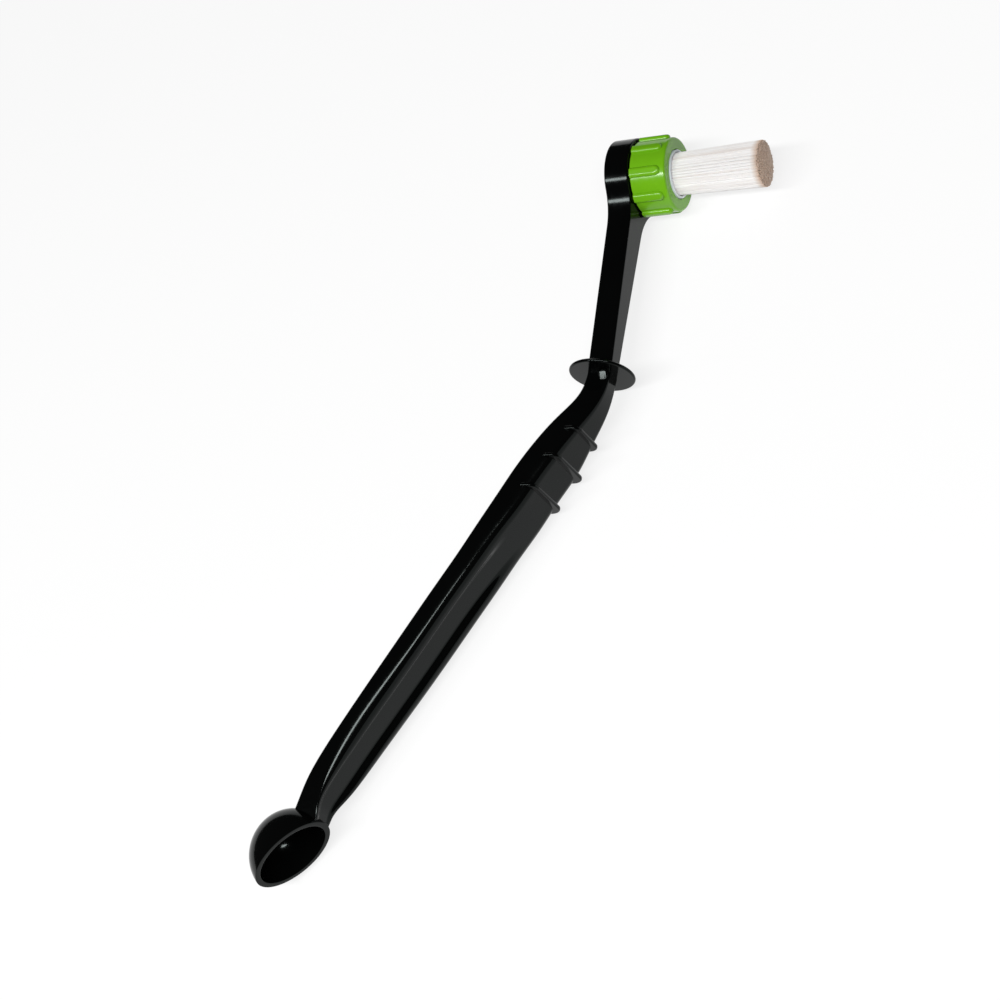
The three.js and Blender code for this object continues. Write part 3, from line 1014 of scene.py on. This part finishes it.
@dataclass
class CapNut(Assembly):
    """The lobed green cap that screws on the boss and traps the brush insert."""

    back: float = 3.9
    floor: float = 12.1
    front: float = 14.5
    bore: float = 9.1
    radius: float = 10.5
    front_round: float = 0.7
    back_round: float = 0.25
    hole_round: float = 0.3
    lug_count: int = 9
    lug_width: float = 2.9
    lug_height: float = 0.95
    lug_length: float = 9.2
    lug_phase: float = math.radians(34)
    lug_round: float = 0.9
    lug_root: float = 0.7
    back_end_margin: float = 0.01
    edge_steps: int = 4
    front_steps: int = 8
    lug_end_steps: int = 14
    lug_steps: int = 5
    cup_steps: int = 180
    crease: float = 35.0

    def build(self) -> Piece:
        """Makes the cap and returns it."""
        crest = BOSS_RADIUS + THREAD_GAP
        ridge = helix_ridge(self.bore + THREAD_SINK, crest, HEAD_FACE + THREAD_PITCH, 1)
        steps = [(Join.ADD, ridge)]
        for index in range(self.lug_count):
            steps.append((Join.ADD, self.lug(self.lug_phase + FULL_TURN * index / self.lug_count)))
        solid = joined(self.cup(), steps)
        tidy_shell(solid)
        return self.finish_piece("cap_nut_lobed", solid, self.crease, weighted=True)

    def cup(self) -> Shell:
        """The cap's round wall and front, with softened edges."""
        bm = bmesh.new()
        rim = NECK_LENGTH
        hole = rim + SLEEVE_HOLE
        wall = rim + self.radius
        pen = ProfilePen(bm, (self.back, rim + self.bore, 0))
        pen.line((self.back, wall - self.back_round, 0))
        pen.corner(self.back + self.back_round, wall - self.back_round, self.edge_steps)
        pen.line((self.front - self.front_round, wall, 0))
        pen.corner(self.front - self.front_round, wall - self.front_round, self.front_steps)
        pen.line((self.front, hole + self.hole_round, 0))
        pen.corner(self.front - self.hole_round, hole + self.hole_round, self.edge_steps)
        pen.line((self.floor, hole, 0), (self.floor, rim + self.bore, 0))
        pen.close()
        pen.turn(BRUSH_CENTRE, X_AXIS, self.cup_steps)
        return bm

    def lug(self, angle: float) -> Shell:
        """One axial lug with a rounded top and front end.

        Args:
            angle: its place round the brush axis from +Y towards +Z.

        Returns:
            The closed lug.
        """
        half = self.lug_width / 2
        base = NECK_LENGTH + self.bore + self.lug_root
        height = self.radius + self.lug_height - self.bore - self.lug_root
        start = self.back + self.back_round
        straight = self.back + self.lug_length - half
        bm = bmesh.new()
        pen = ProfilePen(bm, (start, base, -half))
        pen.line((start, base, half), (straight, base, half))
        pen.arc((straight, base, 0), Y_AXIS, math.pi, self.lug_end_steps)
        pen.close()
        top = raise_face(bm, pen.face(), Y_AXIS * height)
        crest = dict.fromkeys(edge for face in top for edge in face.edges)
        limit = start + self.back_end_margin
        kept = [edge for edge in crest if max(vert.co.x for vert in edge.verts) > limit]
        round_edges(bm, kept, self.lug_round, self.lug_steps)
        turn = Matrix.Rotation(angle, 3, "X")
        bmesh.ops.rotate(bm, verts=bm.verts, cent=BRUSH_CENTRE, matrix=turn)
        return bm


@dataclass
class BrushInsert(Assembly):
    """The replaceable brush: a flanged sleeve and the nylon bristles bonded in it."""

    sleeve_back: float = 4.2
    sleeve_floor: float = 1.4
    flange_back: float = 9.9
    flange_front: float = 11.8
    flange_radius: float = 8.0
    collar_radius: float = 6.9
    rim_round: float = 0.2
    root_back: float = 5.9
    root_thickness: float = 1.5
    tuft_radius: float = 6.05
    tip_radius: float = 6.6
    tip_crown: float = 0.9
    strand_rings: int = 14
    strand_radius: float = 0.25
    strand_sides: int = 6
    strand_levels: tuple[float, ...] = (0.3, 0.62, 0.94, 1.0)
    ring_growth: int = 6
    angle_jitter: float = 0.25
    ring_jitter: float = 0.3
    tone_middle: float = 0.28
    tone_spread: float = 0.22
    bow: float = 0.12
    bow_held: float = 0.8
    tip_scatter: float = 0.35
    # How far along a strand the painted shade of its end begins.
    tip_shade_from: float = 0.99
    rim_steps: int = 5
    sleeve_steps: int = 144
    root_steps: int = 72
    sleeve_crease: float = 35.0
    strand_crease: float = 50.0
    seed: int = 5

    def build_sleeve(self) -> Piece:
        """Makes the sleeve, a cup with a flange and a softly rounded mouth."""
        bm = bmesh.new()
        axis = NECK_LENGTH
        outer = axis + SLEEVE_RADIUS
        bore = axis + SLEEVE_BORE
        flange = axis + self.flange_radius
        collar = axis + self.collar_radius
        inside = self.sleeve_back + self.sleeve_floor
        pen = ProfilePen(bm, (self.sleeve_back, axis, 0))
        pen.line(
            (self.sleeve_back, outer, 0), (self.flange_back, outer, 0), (self.flange_back, flange, 0),
            (self.flange_front, flange, 0), (self.flange_front, collar, 0),
            (SLEEVE_FRONT - self.rim_round, collar, 0))
        pen.corner(SLEEVE_FRONT - self.rim_round, collar - self.rim_round, self.rim_steps)
        pen.line((SLEEVE_FRONT, bore + self.rim_round, 0))
        pen.corner(SLEEVE_FRONT - self.rim_round, bore + self.rim_round, self.rim_steps)
        pen.line((inside, bore, 0), (inside, axis, 0))
        pen.turn(BRUSH_CENTRE, X_AXIS, self.sleeve_steps)
        return self.finish_piece("brush_sleeve_cup", bm, self.sleeve_crease)

    def strand_mesh(self) -> bpy.types.Mesh:
        """One strand of unit length along +X, closed at both ends, with rings where it bows."""
        bm = bmesh.new()
        made = bmesh.ops.create_circle(
            bm, cap_ends=True, radius=self.strand_radius, segments=self.strand_sides)
        turn = Matrix.Rotation(math.pi / 2, 3, "Y")
        bmesh.ops.rotate(bm, verts=made["verts"], cent=(0, 0, 0), matrix=turn)
        face = bm.faces[:][0]
        reached = 0.0
        for level in self.strand_levels:
            step = bmesh.ops.extrude_face_region(bm, geom=[face, *face.edges, *face.verts])
            moved = [item for item in step["geom"] if isinstance(item, Vert)]
            bmesh.ops.translate(bm, verts=moved, vec=(level - reached, 0, 0))
            reached = level
            face = next(item for item in step["geom"] if isinstance(item, Face))
        bmesh.ops.recalc_face_normals(bm, faces=bm.faces)
        mesh = bpy.data.meshes.new("strand")
        bm.to_mesh(mesh)
        bm.free()
        return mesh

    def build_tuft(self, finish: NylonStrands) -> Piece:
        """Makes the bristles on their bonded root.

        Args:
            finish: the nylon, which names the attributes of tone and tip.

        Returns:
            The tuft.
        """
        draw = random.Random(self.seed)
        strand = self.strand_mesh()
        bm = bmesh.new()
        tone = bm.verts.layers.float.new(finish.tone_name)
        tip_tone = bm.verts.layers.float.new(finish.tip_name)
        root_front = self.root_back + self.root_thickness
        start = self.root_back + self.root_thickness / 2
        mouth = self.tuft_radius - self.strand_radius
        flare = (self.tip_radius - self.tuft_radius) / (BRISTLE_TIP - SLEEVE_FRONT)
        for ring in range(self.strand_rings + 1):
            count = max(1, self.ring_growth * ring)
            for index in range(count):
                nudge = draw.uniform(-self.angle_jitter, self.angle_jitter)
                angle = FULL_TURN * (index + nudge) / count
                share = ring / self.strand_rings
                if 0 < ring < self.strand_rings:
                    share += draw.uniform(-self.ring_jitter, self.ring_jitter) / self.strand_rings
                shade = min(1, max(0, draw.gauss(self.tone_middle, self.tone_spread)))
                bow = draw.uniform(-self.bow, self.bow)
                sway = draw.uniform(0, FULL_TURN)
                tip = BRISTLE_TIP - self.tip_crown * share ** 2 - draw.uniform(0, self.tip_scatter)
                known = len(bm.verts)
                bm.from_mesh(strand)
                bm.verts.ensure_lookup_table()
                for vert in bm.verts[known:]:
                    reach = vert.co.x
                    x = start + (tip - start) * reach
                    out = mouth + flare * (x - SLEEVE_FRONT)
                    bend = bow * math.sin(math.pi * reach) * (1 - self.bow_held * share)
                    vert.co = (
                        x,
                        NECK_LENGTH + share * out * math.cos(angle) + vert.co.y + bend * math.cos(sway),
                        share * out * math.sin(angle) + vert.co.z + bend * math.sin(sway))
                    vert[tone] = shade
                    # Marks the strand's end, which the nylon paints with shade.
                    vert[tip_tone] = 1 if reach > self.tip_shade_from else 0
        bpy.data.meshes.remove(strand)
        side = NECK_LENGTH + self.tuft_radius
        pen = ProfilePen(bm, (self.root_back, NECK_LENGTH, 0))
        pen.line((self.root_back, side, 0), (root_front, side, 0), (root_front, NECK_LENGTH, 0))
        bmesh.ops.spin(
            bm, geom=pen.verts + pen.edges, cent=BRUSH_CENTRE, axis=X_AXIS, dvec=(0, 0, 0),
            angle=FULL_TURN, steps=self.root_steps, use_merge=True)
        bmesh.ops.remove_doubles(bm, verts=bm.verts, dist=MERGE_DISTANCE)
        bmesh.ops.recalc_face_normals(bm, faces=bm.faces)
        return self.finish_piece("bristle_tuft_nylon", bm, self.strand_crease)


@dataclass(frozen=True)
class Studio:
    """A pale table top under one long soft box, and the camera."""

    frame: ToolFrame
    lens: float = 78.54
    sensor: float = 36.0
    near_clip: float = 0.01
    camera_place: Triple = (253.1, -263.7, 477.9)
    camera_right: Triple = (0.8837, 0.1535, -0.4422)
    camera_up: Triple = (0.0453, 0.9122, 0.4073)
    table_size: float = 40.0
    table_drop: float = 0.0001
    table_tone: float = 0.9
    table_glow: float = 0.8
    box_length: float = 1.35
    box_width: float = 0.14
    box_place: Triple = (0.06, -0.41, 1.0)
    box_power: float = 18.0
    room_tone: float = 0.03

    def set_camera(self) -> None:
        """Sets the camera at the photograph's angle."""
        lens = bpy.data.cameras.new("camera")
        lens.lens = self.lens
        lens.sensor_width = self.sensor
        lens.sensor_fit = "HORIZONTAL"
        lens.clip_start = self.near_clip
        camera = bpy.data.objects.new("camera", lens)
        right = Vector(self.camera_right).normalized()
        back = right.cross(Vector(self.camera_up)).normalized()
        up = back.cross(right)
        turn = Matrix((right, up, back)).transposed().to_4x4()
        place = self.frame.matrix() @ Vector(self.camera_place)
        camera.matrix_world = Matrix.Translation(place) @ turn
        bpy.context.scene.collection.objects.link(camera)
        bpy.context.scene.camera = camera

    def set_table(self) -> None:
        """Lays the pale table top under the tool."""
        bm = bmesh.new()
        bmesh.ops.create_grid(bm, x_segments=1, y_segments=1, size=self.table_size / 2)
        table = loose_object("table_top", bm)
        table.location.z = -self.table_drop
        bench = NodeBench("pale_table")
        bench.shader.inputs["Base Color"].default_value = (self.table_tone,) * 3 + (1,)
        bench.shader.inputs["Roughness"].default_value = 1
        bench.shader.inputs["Specular IOR Level"].default_value = 0
        rays = bench.add("ShaderNodeLightPath").outputs
        seen = rays["Is Camera Ray"]
        for name in ("Is Glossy Ray", "Is Transmission Ray"):
            either = bench.add("ShaderNodeMath", operation="MAXIMUM")
            bench.link(seen, either.inputs[0])
            bench.link(rays[name], either.inputs[1])
            seen = either.outputs[0]
        share = bench.add("ShaderNodeMath", operation="MULTIPLY")
        bench.link(seen, share.inputs[0])
        share.inputs[1].default_value = self.table_glow
        glow = bench.add("ShaderNodeEmission")
        mixed = bench.add("ShaderNodeMixShader")
        bench.link(share.outputs[0], mixed.inputs[0])
        bench.link(bench.shader.outputs[0], mixed.inputs[1])
        bench.link(glow.outputs[0], mixed.inputs[2])
        bench.link(mixed.outputs[0], bench.tree.nodes["Material Output"].inputs["Surface"])
        table.data.materials.append(bench.material)

    def set_light(self) -> None:
        """Hangs the soft box and darkens the room."""
        lamp = bpy.data.lights.new("soft_box", "AREA")
        lamp.shape = "RECTANGLE"
        lamp.size = self.box_length
        lamp.size_y = self.box_width
        lamp.energy = self.box_power
        box = bpy.data.objects.new("soft_box", lamp)
        box.location = self.box_place
        bpy.context.scene.collection.objects.link(box)
        world = bpy.data.worlds.new("dark_room")
        world.use_nodes = True
        background = world.node_tree.nodes["Background"]
        background.inputs["Color"].default_value = (self.room_tone,) * 3 + (1,)
        bpy.context.scene.world = world
        bpy.context.scene.view_settings.view_transform = "Standard"

    def build(self) -> None:
        """Sets the camera, the table and the light."""
        self.set_camera()
        self.set_table()
        self.set_light()


def main() -> None:
    """Builds the tool, piece by piece, and the studio round it."""
    logging.basicConfig(level=logging.INFO, format="%(name)s %(message)s")
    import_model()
    frame = ToolFrame.from_nodes()
    Studio(frame).build()
    handle = Handle(frame)
    handle.dress(handle.build(), BLACK_GLOSS, Slot.BLACK, Body.HANDLE, "handle")
    cap = CapNut(frame)
    cap.dress(cap.build(), LIME_SATIN, Slot.GREEN, Body.CAP, "cap_nut")
    insert = BrushInsert(frame)
    insert.dress(insert.build_sleeve(), MILKY_WHITE, Slot.WHITE, Body.INSERT, "brush_sleeve")
    tuft = insert.build_tuft(BRISTLE_NYLON)
    insert.dress(tuft, BRISTLE_NYLON, Slot.NYLON, Body.INSERT, "bristle_tuft")


if __name__ == "__main__":
    main()
